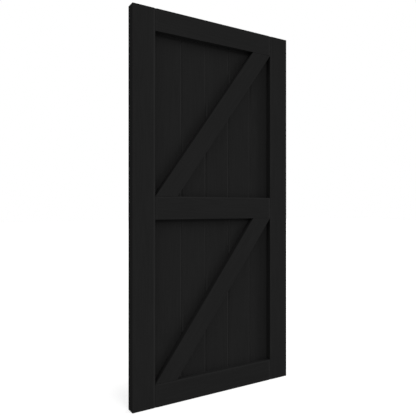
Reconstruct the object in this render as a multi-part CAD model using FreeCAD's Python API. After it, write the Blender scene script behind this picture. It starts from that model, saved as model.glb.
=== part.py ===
import FreeCAD, Part
import math
import os

# A framed, ledged and braced door leaf. Sizes are in millimetres.
# X runs across the leaf from its hinge edge and Z up from its foot. Y runs through the
# thickness, with 0 at the middle: the braced side faces -Y, the boarded weather side +Y.

# The leaf
leaf_width = 965.0
leaf_height = 1981.0
leaf_thickness = 54.0
edge_arris = 1.0            # planed off the hinge edge and the closing edge

# The frame, as it shows on the braced side
stile_width = 121.0
top_rail_height = 112.0
middle_rail_height = 116.0
middle_rail_centre = 990.5  # above the foot
bottom_rail_height = 115.0
frame_bevel_width = 11.0    # one half of the shallow V joint between a stile and a rail
frame_bevel_depth = 3.0
ledge_bevel_height = 7.0    # sheds water off the upper arris of the two lower rails
ledge_bevel_depth = 2.0

# The braces
brace_width = 98.0
brace_bevel_width = 2.0
brace_bevel_depth = 1.5

# The boards and their tongues
board_thickness = 20.0
board_setback = 0.5         # of their weather face from the frame's
first_board_joint = 285.7   # from the hinge edge
board_pitch = 146.1
narrowest_board = 60.0      # a narrower last strip is left on the board before it
board_bevel_width = 9.0     # one half of the shallow V joint between two boards
board_bevel_depth = 3.5
tongue_thickness = 6.0
tongue_length = 8.0
tongue_side_gap = 0.2
tongue_end_gap = 1.0

# The stub tenons of the rails
tenon_thickness = 18.0
tenon_length = 70.0
tenon_shoulder = 12.0       # cut back beside the boards
haunch_height = 34.0        # cut back at the top and foot of the leaf
haunch_length = 12.0
tenon_side_gap = 0.1
tenon_end_gap = 2.0

# Planes and lines that the pieces share
braced_face = -leaf_thickness / 2
weather_face = leaf_thickness / 2
board_weather_face = weather_face - board_setback
board_face = board_weather_face - board_thickness
tongue_centre = board_weather_face - board_thickness / 2
opening_left = stile_width
opening_right = leaf_width - stile_width
opening_top = leaf_height - top_rail_height
middle_rail_low = middle_rail_centre - middle_rail_height / 2
middle_rail_high = middle_rail_centre + middle_rail_height / 2


def box(x_range, y_range, z_range):
    low = [limits[0] for limits in (x_range, y_range, z_range)]
    size = [limits[1] - limits[0] for limits in (x_range, y_range, z_range)]
    return Part.makeBox(*size, FreeCAD.Vector(*low))


def closed_wire(points):
    corners = [FreeCAD.Vector(*point) for point in points]
    return Part.makePolygon(corners + corners[:1])


def extruded(points, run):
    return Part.Face(closed_wire(points)).extrude(FreeCAD.Vector(*run))


def tongue_band(gap=0.0):
    half = tongue_thickness / 2 + gap
    return tongue_centre - half, tongue_centre + half


# Rails

def rail(low, high, back, tenon, haunches=(), ledge=True):
    return {"low": low, "high": high, "back": back, "tenon": tenon, "haunches": haunches, "ledge": ledge}


rails = {
    "top_rail": rail(
        opening_top, leaf_height, weather_face,
        tenon=(opening_top + tenon_shoulder, leaf_height - haunch_height),
        haunches=[(leaf_height - haunch_height, leaf_height)],
        ledge=False),
    "middle_rail": rail(
        middle_rail_low, middle_rail_high, board_face,
        tenon=(middle_rail_low + tenon_shoulder, middle_rail_high - tenon_shoulder)),
    "bottom_rail": rail(
        0.0, bottom_rail_height, board_face,
        tenon=(haunch_height, bottom_rail_height - tenon_shoulder),
        haunches=[(0.0, haunch_height)]),
}


def tenon_bar(z_range, length, side_gap):
    """A bar from stile to stile that ends in a tenon each side, flush with the ledges' backs."""
    return box((opening_left - length, opening_right + length),
               (board_face - tenon_thickness - side_gap, board_face + side_gap),
               (z_range[0] - side_gap, z_range[1] + side_gap))


def tenons(one, side_gap=0.0, end_gap=0.0):
    bar = tenon_bar(one["tenon"], tenon_length + end_gap, side_gap)
    for haunch in one["haunches"]:
        bar = bar.fuse(tenon_bar(haunch, haunch_length + end_gap, side_gap))
    return bar


def rail_section(one):
    low, high, back = one["low"], one["high"], one["back"]
    points = [(back, high), (back, low), (braced_face, low)]
    if one["ledge"]:
        points += [(braced_face, high - ledge_bevel_height), (braced_face + ledge_bevel_depth, high)]
    else:
        points += [(braced_face, high)]
    return points


def shoulder_bevels(one, face, inward):
    """Wedges off both shoulders of a rail, on the face at this Y."""
    wedges = []
    for shoulder, along in ((opening_left, 1), (opening_right, -1)):
        wedges.append(extruded([(shoulder, face, one["low"]),
                                (shoulder + along * frame_bevel_width, face, one["low"]),
                                (shoulder, face + inward * frame_bevel_depth, one["low"])],
                               (0, 0, one["high"] - one["low"])))
    return wedges


def rail_solid(one):
    section = [(opening_left, y, z) for y, z in rail_section(one)]
    body = extruded(section, (opening_right - opening_left, 0, 0))
    body = body.cut(shoulder_bevels(one, braced_face, 1))
    if one["back"] == weather_face:
        body = body.cut(shoulder_bevels(one, weather_face, -1) + [top_plough()])
        body = body.cut(weather_bevel(weather_face, 1))
    return body.fuse(tenons(one)).removeSplitter()


def top_plough():
    """The groove under the top rail that takes the tongued tops of the boards."""
    return box((opening_left, opening_right), tongue_band(tongue_side_gap),
               (opening_top, opening_top + tongue_length + tongue_end_gap))


def weather_bevel(face, upward):
    """One half of the V joint between the top rail and the boards, cut from the face at this Y."""
    return extruded([(opening_left, face, opening_top),
                     (opening_left, face, opening_top + upward * board_bevel_width),
                     (opening_left, weather_face - board_bevel_depth, opening_top)],
                    (opening_right - opening_left, 0, 0))


# Stiles

def stile_solid():
    """The hinge stile: a bevelled section with its board groove and its mortises."""
    section = [(edge_arris, braced_face),
               (stile_width - frame_bevel_width, braced_face),
               (stile_width, braced_face + frame_bevel_depth),
               (stile_width, weather_face - frame_bevel_depth),
               (stile_width - frame_bevel_width, weather_face),
               (edge_arris, weather_face),
               (0, weather_face - edge_arris),
               (0, braced_face + edge_arris)]
    body = extruded([(x, y, 0) for x, y in section], (0, 0, leaf_height))
    plough = box((stile_width - tongue_length - tongue_end_gap, stile_width),
                 tongue_band(tongue_side_gap), (0, opening_top))
    mortises = [tenons(one, tenon_side_gap, tenon_end_gap) for one in rails.values()]
    return body.cut([plough] + mortises)


def closing_stile_solid():
    return stile_solid().mirror(FreeCAD.Vector(leaf_width / 2, 0, 0), FreeCAD.Vector(1, 0, 0))


# Braces

def brace_end_width(rise):
    """Level width of a brace end, for a brace whose edges meet two opposite corners.

    With run w, rise h and width b, the end e satisfies e h = b sqrt((w - e)^2 + h^2).
    """
    run = opening_right - opening_left
    slope_part = rise * math.sqrt(run ** 2 + rise ** 2 - brace_width ** 2)
    return brace_width * (slope_part - brace_width * run) / (rise ** 2 - brace_width ** 2)


def brace_solid(low, high):
    """A brace from the lower left corner to the upper right one, bevelled on its face."""
    end = brace_end_width(high - low)
    corners = [(opening_left, low), (opening_left + end, low),
               (opening_right, high), (opening_right - end, high)]
    bevel_foot = braced_face + brace_bevel_depth
    outline = closed_wire([(x, bevel_foot, z) for x, z in corners])
    body = Part.Face(outline).extrude(FreeCAD.Vector(0, board_face - bevel_foot, 0))
    face_outline = outline.makeOffset2D(-brace_bevel_width, 2)
    face_outline.translate(FreeCAD.Vector(0, -brace_bevel_depth, 0))
    return body.fuse(Part.makeLoft([face_outline, outline], True, True)).removeSplitter()


# Boards

def board_lines():
    """X of each edge between boards, from the hinge stile to the closing stile."""
    lines = [opening_left]
    joint = first_board_joint
    while joint < opening_right - narrowest_board:
        lines.append(joint)
        joint += board_pitch
    return lines + [opening_right]


def tongued_edge(x, outward):
    low, high = tongue_band()
    tip = x + outward * tongue_length
    return [(x, low), (tip, low), (tip, high), (x, high)]


def grooved_edge(x, inward):
    low, high = tongue_band(tongue_side_gap)
    bottom = x + inward * (tongue_length + tongue_end_gap)
    return [(x, low), (bottom, low), (bottom, high), (x, high)]


def bevelled_arris(x, face, inward, into, width, depth):
    """From the edge of a board to its face."""
    return [(x, face + into * depth), (x + inward * width, face)]


def board_section(left, right):
    """A board's section, anticlockwise from the left end of its braced face.

    The edge to a stile is tongued and square on the braced side, where the stile stands proud.
    Between boards, a tongue enters the groove of the next board to the right.
    """
    at_hinge = left == opening_left
    at_closing = right == opening_right
    at_stile = (frame_bevel_width, frame_bevel_depth - board_setback)
    at_board = (board_bevel_width, board_bevel_depth)
    weather_left = at_stile if at_hinge else at_board
    weather_right = at_stile if at_closing else at_board
    points = []
    if at_hinge:
        points += [(left, board_face)]
    else:
        points += bevelled_arris(left, board_face, 1, 1, board_bevel_width, board_bevel_depth)
    if at_closing:
        points += [(right, board_face)]
    else:
        points += bevelled_arris(right, board_face, -1, 1, board_bevel_width, board_bevel_depth)[::-1]
    points += tongued_edge(right, 1)
    points += bevelled_arris(right, board_weather_face, -1, -1, *weather_right)
    points += bevelled_arris(left, board_weather_face, 1, -1, *weather_left)[::-1]
    points += (tongued_edge(left, -1) if at_hinge else grooved_edge(left, 1))[::-1]
    return points


def board_solid(left, right):
    body = extruded([(x, y, 0) for x, y in board_section(left, right)], (0, 0, opening_top))
    top_tongue = box((left, right), tongue_band(), (opening_top, opening_top + tongue_length))
    return body.cut(weather_bevel(board_weather_face, -1)).fuse(top_tongue).removeSplitter()


nodes = {"hinge_stile": stile_solid(), "closing_stile": closing_stile_solid()}
for name, one in rails.items():
    nodes[name] = rail_solid(one)
nodes["upper_brace"] = brace_solid(middle_rail_high, opening_top)
nodes["lower_brace"] = brace_solid(bottom_rail_height, middle_rail_low)
lines = board_lines()
for number, (left, right) in enumerate(zip(lines, lines[1:]), 1):
    nodes["board_%d" % number] = board_solid(left, right)

os.makedirs("parts", exist_ok=True)
for name, shape in nodes.items():
    solid = shape.Solids[0]
    solid.exportStep("parts/" + name + ".step")
    print(name, len(shape.Solids), solid.isValid(), round(solid.Volume / 1000), "cm3")
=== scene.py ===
import math

import bpy
import numpy as np
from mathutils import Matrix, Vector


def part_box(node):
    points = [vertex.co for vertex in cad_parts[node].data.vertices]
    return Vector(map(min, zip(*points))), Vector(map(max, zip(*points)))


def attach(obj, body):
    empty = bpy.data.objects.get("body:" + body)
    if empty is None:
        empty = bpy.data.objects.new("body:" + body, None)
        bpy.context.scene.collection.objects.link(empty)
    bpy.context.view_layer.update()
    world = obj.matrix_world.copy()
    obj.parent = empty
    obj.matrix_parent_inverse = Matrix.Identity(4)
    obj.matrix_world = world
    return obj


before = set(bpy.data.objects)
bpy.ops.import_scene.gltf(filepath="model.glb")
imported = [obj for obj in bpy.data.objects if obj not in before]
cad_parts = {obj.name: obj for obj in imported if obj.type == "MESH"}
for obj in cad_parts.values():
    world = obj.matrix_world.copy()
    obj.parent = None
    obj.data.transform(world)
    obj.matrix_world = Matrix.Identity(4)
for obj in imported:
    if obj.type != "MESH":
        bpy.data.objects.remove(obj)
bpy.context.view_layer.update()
print("frame loaded:", len(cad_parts), "members")

mm = 0.001   # in metres


# Small helpers

mixShare, mixFrom, mixTo = 0, 6, 7   # inputs of a Mix node that mixes colours


def linearColour(hexText):
    # sRGB hex to the linear values that shaders use
    parts = [int(hexText[i:i + 2], 16) / 255 for i in (1, 3, 5)]
    return [c / 12.92 if c <= 0.04045 else ((c + 0.055) / 1.055) ** 2.4 for c in parts] + [1.0]


def addNode(tree, kind, settings=None, inputs=None):
    # one node, its settings, and for each input a value, an output, or a node to link from,
    # which gives its first output in use
    node = tree.nodes.new(kind)
    for key, value in (settings or {}).items():
        setattr(node, key, value)
    for key, value in (inputs or {}).items():
        if isinstance(value, bpy.types.Node):
            value = next(output for output in value.outputs if output.enabled)
        if isinstance(value, bpy.types.NodeSocket):
            tree.links.new(value, node.inputs[key])
        else:
            node.inputs[key].default_value = value
    return node


def newMaterial(name):
    material = bpy.data.materials.new(name)
    material.use_nodes = True
    material.node_tree.nodes.clear()
    return material, material.node_tree


def newPiece(name, points, faces):
    mesh = bpy.data.meshes.new(name)
    mesh.from_pydata(points.tolist(), [], faces)
    piece = bpy.data.objects.new(name, mesh)
    bpy.context.scene.collection.objects.link(piece)
    return piece


# Lines of the leaf, read from the frame

def boardLines():
    # x of each joint between the boards, and of their joints with the stiles
    names = sorted(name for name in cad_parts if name.startswith("board_"))
    joints = [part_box(name)[0].x for name in names[1:]]
    return [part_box("hinge_stile")[1].x] + joints + [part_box("closing_stile")[0].x]


def seamsOf(node):
    # (axis, place) of each joint at the foot of a member's V bevels
    lines = boardLines()
    underTopRail = ("Z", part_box("top_rail")[0].z)
    if "board" in node:
        right = int(node.split("_")[-1])
        return [("X", lines[right - 1]), ("X", lines[right]), underTopRail]
    shoulders = [("X", lines[0]), ("X", lines[-1])]
    return {
        "hinge_stile": shoulders[:1],
        "closing_stile": shoulders[1:],
        "top_rail": shoulders + [underTopRail],
        "middle_rail": shoulders,
        "bottom_rail": shoulders,
    }.get(node, [])


def braceLine(node):
    # x and z of the middle of a brace's foot and head
    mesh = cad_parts[node].data
    points = np.empty(len(mesh.vertices) * 3)
    mesh.vertices.foreach_get("co", points)
    points = points.reshape(-1, 3)
    ends = []
    for z in (points[:, 2].min(), points[:, 2].max()):
        atEnd = points[abs(points[:, 2] - z) < 0.1 * mm, 0]
        ends.append(((atEnd.min() + atEnd.max()) / 2, z))
    return ends


def leanOf(node):
    # how far a member's length leans from upright towards +X, in radians
    if "rail" in node:
        return math.pi / 2
    if "brace" not in node:
        return 0.0
    foot, head = braceLine(node)
    return math.atan2(head[0] - foot[0], head[1] - foot[1])


# Dead flat black paint, brushed on planed softwood.
# It has no gloss, so the eye gets an even charcoal black. Close to, it shows the drag of the
# bristles along each member, the wood's rings raised under the film, a paler line over the
# bevels, partly where the film thins and partly a painted highlight that draws the V joints,
# and a black hairline where two members meet. The painted highlight is weaker on bevels that
# face upwards. Cut ends drink the paint, and stay darker and rougher.

paint = {
    "full": "#1d1d1d",             # a thick film
    "thinFilmAndHighlight": "#272727",             # one that the wood greys, and the colour of the bevels' painted highlight
    "endGrain": "#181818",
    "hairline": "#080808",         # the open joint at the foot of a V
    "hairlineWidth": 1.0,          # mm, both members together
    "roughness": 0.85,
    # patterns: mm across a member, mm along it, fineness and steepness of the noise
    "load": (90.0, 500.0, 2.0, 2.5),       # one loading of the brush
    "bristles": (1.8, 150.0, 1.0, 2.5),    # about twice as coarse as they are, so as to show
    "figure": (55.0, 1300.0, 1.0, 1.0),    # the run of the wood's figure
    "bevelThinAndHighlightRun": (12.0, 150.0, 2.0, 2.5),   # where the film over a bevel gets thinner and thicker, and its painted highlight stronger and weaker
    "endSpeckle": (1.2, 1.2, 2.0, 1.0),    # open pores and saw marks
    "rings": 13.0,                 # growth rings from one end of the figure's range to the other
    # how far each takes the colour from the full film to the thin one, which on the bevels is partly a
    # painted highlight
    "loadShare": 0.08,
    "bristleShare": 0.14,
    "ringShare": 0.12,
    "bevelThinAndHighlightShare": (0.36, 0.30),    # the bevels' thin film and painted highlight: the least, and what its run adds
    "upwardHighlightFade": 1.8,               # how soon the painted highlight on a bevel fades, leaving it darker, as the bevel turns upwards
    # relief in mm
    "bristleRelief": 0.06,
    "ringRelief": 0.14,            # latewood that stands up under the film
    "endRelief": 0.25,
    # the cosine of the normal with the leaf's thickness or the member's length, give or take
    "bevelCosine": (0.6, 0.38),    # every bevel, and no flat face, edge or end
    "endCosine": (1.0, 0.1),
    "shift": (37.0, 0.0, 611.0),   # mm from each member's patterns to the next one's
}


def brushedPaint(name, lean, number, seams):
    material, tree = newMaterial(name)
    place = addNode(tree, "ShaderNodeTexCoord").outputs["Object"]
    normal = addNode(tree, "ShaderNodeNewGeometry").outputs["Normal"]
    # millimetres, with Z along the member
    along = addNode(tree, "ShaderNodeMapping", {"vector_type": "POINT"}, {
        "Vector": place, "Scale": (1 / mm,) * 3, "Rotation": (0, -lean, 0),
        "Location": [number * step for step in paint["shift"]]})

    def streaks(pattern):
        # noise from 0 to 1, stretched to the pattern's size and steepened about its middle
        across, run, fineness, steepness = paint[pattern]
        stretched = addNode(tree, "ShaderNodeVectorMath", {"operation": "DIVIDE"}, {
            0: along, 1: (across, across, run)})
        noise = addNode(tree, "ShaderNodeTexNoise", inputs={
            "Vector": stretched, "Scale": 1.0, "Detail": fineness, "Roughness": 0.5})
        return addNode(tree, "ShaderNodeMath", {"operation": "MULTIPLY_ADD", "use_clamp": True}, {
            0: noise, 1: steepness, 2: (1 - steepness) / 2})

    def facing(direction, cosine):
        # 1 where the normal makes this cosine with a direction or its opposite
        towards = addNode(tree, "ShaderNodeVectorMath", {"operation": "DOT_PRODUCT"}, {
            0: normal, 1: direction})
        either = addNode(tree, "ShaderNodeMath", {"operation": "ABSOLUTE"}, {0: towards})
        return addNode(tree, "ShaderNodeMath", {"operation": "COMPARE"}, {
            0: either, 1: cosine[0], 2: cosine[1]})

    def summed(parts):
        # each pattern times its weight, added up
        total = 0.0
        for pattern, weight in parts:
            total = addNode(tree, "ShaderNodeMath", {"operation": "MULTIPLY_ADD"}, {
                0: pattern, 1: weight, 2: total})
        return total

    bevel = facing((0, 1, 0), paint["bevelCosine"])
    end = facing((math.sin(lean), 0, math.cos(lean)), paint["endCosine"])
    bristle = streaks("bristles")
    # rings are the contours of a long noise, rounded by a sine
    turns = addNode(tree, "ShaderNodeMath", {"operation": "MULTIPLY"}, {
        0: streaks("figure"), 1: 2 * math.pi * paint["rings"]})
    wave = addNode(tree, "ShaderNodeMath", {"operation": "SINE"}, {0: turns})
    ring = addNode(tree, "ShaderNodeMath", {"operation": "MULTIPLY_ADD"}, {0: wave, 1: 0.5, 2: 0.5})

    # thinness of the film, from 0 to 1: its patterns, or the bevel's where that is more, which is partly
    # a painted highlight
    thinnessAndHighlight = summed([
        (streaks("load"), paint["loadShare"]),
        (bristle, paint["bristleShare"]),
        (ring, paint["ringShare"])])
    least, uneven = paint["bevelThinAndHighlightShare"]
    # painted highlight on the bevels, partly a real thinning of the film over them
    bevelThinAndHighlight = addNode(tree, "ShaderNodeMath", {"operation": "MULTIPLY_ADD"}, {
        0: streaks("bevelThinAndHighlightRun"), 1: uneven, 2: least})
    # the bevels' painted highlight is made weaker the more they face upwards
    upward = addNode(tree, "ShaderNodeSeparateXYZ", inputs={0: normal}).outputs["Z"]
    upwardFadeShare = addNode(tree, "ShaderNodeMath", {"operation": "MULTIPLY_ADD", "use_clamp": True}, {
        0: upward, 1: -paint["upwardHighlightFade"], 2: 1.0})
    for share in (upwardFadeShare, bevel):
        bevelThinAndHighlight = addNode(tree, "ShaderNodeMath", {"operation": "MULTIPLY"}, {0: bevelThinAndHighlight, 1: share})
    thinnessAndHighlight = addNode(tree, "ShaderNodeMath", {"operation": "MAXIMUM"}, {0: thinnessAndHighlight, 1: bevelThinAndHighlight})

    # the full film's colour, with the thin film and the bevels' painted highlight, the cut ends and the
    # hairlines over it
    layers = [(thinnessAndHighlight, paint["thinFilmAndHighlight"]), (end, paint["endGrain"])]
    axes = addNode(tree, "ShaderNodeSeparateXYZ", inputs={0: place}).outputs
    for axis, where in seams:
        near = addNode(tree, "ShaderNodeMath", {"operation": "COMPARE"}, {
            0: axes[axis], 1: where, 2: paint["hairlineWidth"] / 2 * mm})
        onSeam = addNode(tree, "ShaderNodeMath", {"operation": "MULTIPLY"}, {0: bevel, 1: near})
        layers.append((onSeam, paint["hairline"]))
    colour = linearColour(paint["full"])
    for share, layer in layers:
        colour = addNode(tree, "ShaderNodeMix", {"data_type": "RGBA"}, {
            mixShare: share, mixFrom: colour, mixTo: linearColour(layer)})

    speckle = addNode(tree, "ShaderNodeMath", {"operation": "MULTIPLY"}, {
        0: streaks("endSpeckle"), 1: paint["endRelief"]})
    height = summed([(bristle, paint["bristleRelief"]), (ring, paint["ringRelief"]), (end, speckle)])
    relief = addNode(tree, "ShaderNodeBump", inputs={"Height": height, "Strength": 1.0, "Distance": mm})
    shader = addNode(tree, "ShaderNodeBsdfPrincipled", inputs={
        "Base Color": colour, "Roughness": paint["roughness"],
        "Specular IOR Level": 0.0, "Normal": relief})
    addNode(tree, "ShaderNodeOutputMaterial", inputs={"Surface": shader})
    return material


for number, (nodeName, member) in enumerate(sorted(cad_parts.items())):
    member.data.materials.clear()
    member.data.materials.append(
        brushedPaint("flat_black_paint_on_" + nodeName, leanOf(nodeName), number, seamsOf(nodeName)))
print("paint on", len(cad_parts), "members")


# Nail heads on the weather face, two to a board on each ledge, and more along the braces

nails = {
    "radius": 4.5,               # mm, clout nails driven home and painted over
    # from the foot to the top of a head: share of its radius, mm above the board
    "shape": [(1.26, -0.2), (1.26, 0.03), (1.0, 0.05), (0.95, 0.24), (0.7, 0.38), (0.3, 0.45)],
    "collarSpans": 2,            # of the shape, from its foot, dark where the film is cracked and as a painted shade of a dent round the head
    "sides": 20,
    "fromEdge": 0.17,            # share of a board's width
    "stagger": 16.0,             # mm up or down from a ledge's middle line
    "clear": 30.0,               # mm that a brace's nails keep from the ledges
    "head": ("#2d2d2d", "#232323"),      # rubbed thin over the steel, and thicker
    "collar": ("#0d0d0d", "#181818"),    # cracked open, and filled with paint; the dark ring is also a painted shade of a dent round the head
    "dabs": 2.0,                 # mm, of one colour or the other
    "dabFineness": 2.0,
    "roughness": 0.7,
}


# The same black brushed over steel nails. A head shows as a paler, smoother dot, because the
# film is thin there, inside a dark collar, partly where the film cracked as the nail was driven and
# partly a painted shade of a dent round the head.

def dabbedPaint(part):
    material, tree = newMaterial("flat_black_paint_on_steel_nail_" + part)
    first, second = [linearColour(colour) for colour in nails[part]]
    place = addNode(tree, "ShaderNodeTexCoord").outputs["Object"]
    dabs = addNode(tree, "ShaderNodeTexNoise", inputs={
        "Vector": place, "Scale": 1 / (nails["dabs"] * mm), "Detail": nails["dabFineness"]})
    colour = addNode(tree, "ShaderNodeMix", {"data_type": "RGBA"}, {
        mixShare: dabs, mixFrom: first, mixTo: second})
    shader = addNode(tree, "ShaderNodeBsdfPrincipled", inputs={
        "Base Color": colour, "Roughness": nails["roughness"], "Specular IOR Level": 0.0})
    addNode(tree, "ShaderNodeOutputMaterial", inputs={"Surface": shader})
    return material


def nailPlaces():
    # x and z of each head, in columns down the boards
    lines = boardLines()
    columns = []
    for left, right in zip(lines, lines[1:]):
        inset = nails["fromEdge"] * (right - left)
        columns += [left + inset, right - inset]
    places = []
    for ledge in ("middle_rail", "bottom_rail"):
        low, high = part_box(ledge)
        for number, x in enumerate(columns):
            places.append((x, (low.z + high.z) / 2 + (-1) ** number * nails["stagger"] * mm))
    clear = nails["clear"] * mm
    for brace in ("upper_brace", "lower_brace"):
        foot, head = braceLine(brace)
        for x in columns:
            z = foot[1] + (x - foot[0]) / (head[0] - foot[0]) * (head[1] - foot[1])
            if foot[1] + clear < z < head[1] - clear:
                places.append((x, z))
    return np.array(places)


def makeNails():
    # each head is a profile turned about its own axis: x = x0 + r sin a, z = z0 + r cos a, y = face + h
    places = nailPlaces()
    profile = np.array(nails["shape"])
    turn = np.linspace(0, 2 * np.pi, nails["sides"], endpoint=False)
    radius = profile[:, 0] * nails["radius"] * mm
    grid = np.empty((len(places), len(profile), nails["sides"], 3))
    grid[..., 0] = places[:, 0, None, None] + radius[None, :, None] * np.sin(turn)
    grid[..., 1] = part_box("board_1")[1].y + profile[None, :, 1, None] * mm
    grid[..., 2] = places[:, 1, None, None] + radius[None, :, None] * np.cos(turn)

    # faces: a wall of squares round each head, closed by its foot and its top
    index = np.arange(grid[..., 0].size).reshape(grid.shape[:3])
    after = np.roll(index, -1, axis=2)
    walls = np.stack([index[:, :-1], after[:, :-1], after[:, 1:], index[:, 1:]], axis=-1)
    feet, tops = index[:, 0, ::-1], index[:, -1]
    faces = walls.reshape(-1, 4).tolist() + feet.tolist() + tops.tolist()
    piece = newPiece("nail_heads", grid.reshape(-1, 3), faces)

    # the head's paint comes first, and the collar's second
    piece.data.materials.append(dabbedPaint("head"))
    piece.data.materials.append(dabbedPaint("collar"))
    onCollar = np.zeros(walls.shape[:3], np.int32)
    onCollar[:, :nails["collarSpans"]] = 1
    onFoot, onTop = np.ones(len(places), np.int32), np.zeros(len(places), np.int32)
    piece.data.polygons.foreach_set("material_index", np.concatenate([onCollar.ravel(), onFoot, onTop]))
    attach(piece, "root")
    return len(places)


print("nail heads:", makeNails())


# Floor: matt white card, which the camera sees as plain white with the leaf's soft shadow

floorValues = {
    "halfWidth": 30.0,       # metres
    "below": 0.4,            # mm under the foot of the leaf
    "card": "#c0c0c0",
    "lift": "#cbcbcb",       # added for the camera alone
}


def makeFloor():
    half, z = floorValues["halfWidth"], -floorValues["below"] * mm
    corners = np.array([(-half, -half, z), (half, -half, z), (half, half, z), (-half, half, z)])
    floor = newPiece("floor", corners, [(0, 1, 2, 3)])
    material, tree = newMaterial("matt_white_card")
    path = addNode(tree, "ShaderNodeLightPath").outputs
    card = addNode(tree, "ShaderNodeBsdfDiffuse", inputs={"Color": linearColour(floorValues["card"])})
    lift = addNode(tree, "ShaderNodeEmission", inputs={
        "Color": linearColour(floorValues["lift"]), "Strength": path["Is Camera Ray"]})
    both = addNode(tree, "ShaderNodeAddShader", inputs={0: card, 1: lift})
    addNode(tree, "ShaderNodeOutputMaterial", inputs={"Surface": both})
    floor.data.materials.append(material)


makeFloor()


# Light

lightValues = {
    "white": "#ffffff",
    "room": 0.53,                                # what the white room gives from every side
    # strength in watts a square metre, spread, turn to the right and rise in degrees
    "softboxes": {
        "key": (1.90, 20.0, 70.0, 25.0),         # far to the right, it draws the V joints
        "front": (0.82, 20.0, 0.0, 25.0),        # facing the braced side
        "left": (0.32, 20.0, -75.0, 25.0),       # for the hinge edge
        "top": (0.36, 20.0, 0.0, 75.0),          # overhead, a little in front
        "weatherKey": (1.3, 20.0, 120.0, 8.0),   # low, for the weather side alone
        "weatherFront": (1.1, 30.0, 180.0, 8.0),
    },
}


def makeWorld():
    # white to the eye and in reflections, and the room's light for everything else
    world = bpy.data.worlds.new("white_studio")
    bpy.context.scene.world = world
    world.use_nodes = True
    tree = world.node_tree
    tree.nodes.clear()
    path = addNode(tree, "ShaderNodeLightPath").outputs
    white = linearColour(lightValues["white"])
    room = addNode(tree, "ShaderNodeBackground", inputs={"Color": white, "Strength": lightValues["room"]})
    view = addNode(tree, "ShaderNodeBackground", inputs={"Color": white, "Strength": 1.0})
    mirrored = addNode(tree, "ShaderNodeMath", {"operation": "MAXIMUM"}, {
        0: path["Is Glossy Ray"], 1: path["Is Transmission Ray"]})
    seen = addNode(tree, "ShaderNodeMath", {"operation": "MAXIMUM"}, {
        0: path["Is Camera Ray"], 1: mirrored})
    either = addNode(tree, "ShaderNodeMixShader", inputs={0: seen, 1: room, 2: view})
    addNode(tree, "ShaderNodeOutputWorld", inputs={"Surface": either})


def addSoftbox(name, strength, spread, turn, rise):
    lamp = bpy.data.lights.new(name + "_softbox", "SUN")
    lamp.energy = strength
    lamp.angle = math.radians(spread)
    holder = bpy.data.objects.new(name + "_softbox", lamp)
    bpy.context.scene.collection.objects.link(holder)
    holder.rotation_euler = (math.radians(90 - rise), 0, math.radians(turn))


makeWorld()
for name, values in lightValues["softboxes"].items():
    addSoftbox(name, *values)
print("floor and lights in place")


# Camera

cameraValues = {
    "place": (-0.8185, -2.0908, 0.9902),   # metres: left of the hinge edge, at mid height
    "turn": 31.06,                         # degrees to the right of +Y
    "focalPixels": 454.8,                  # measured in the photograph's 416 pixel frame
    "framePixels": 416.0,
    "sensorWidth": 36.0,                   # mm
    "farthest": 200.0,                     # metres
}


def makeCamera():
    camera = bpy.data.cameras.new("camera")
    camera.sensor_fit = "HORIZONTAL"
    camera.sensor_width = cameraValues["sensorWidth"]
    camera.lens = camera.sensor_width * cameraValues["focalPixels"] / cameraValues["framePixels"]
    camera.clip_end = cameraValues["farthest"]
    holder = bpy.data.objects.new("camera", camera)
    bpy.context.scene.collection.objects.link(holder)
    holder.location = cameraValues["place"]
    holder.rotation_euler = (math.radians(90), 0, -math.radians(cameraValues["turn"]))
    bpy.context.scene.camera = holder


makeCamera()
bpy.context.scene.view_settings.view_transform = "Standard"
print("camera in place")
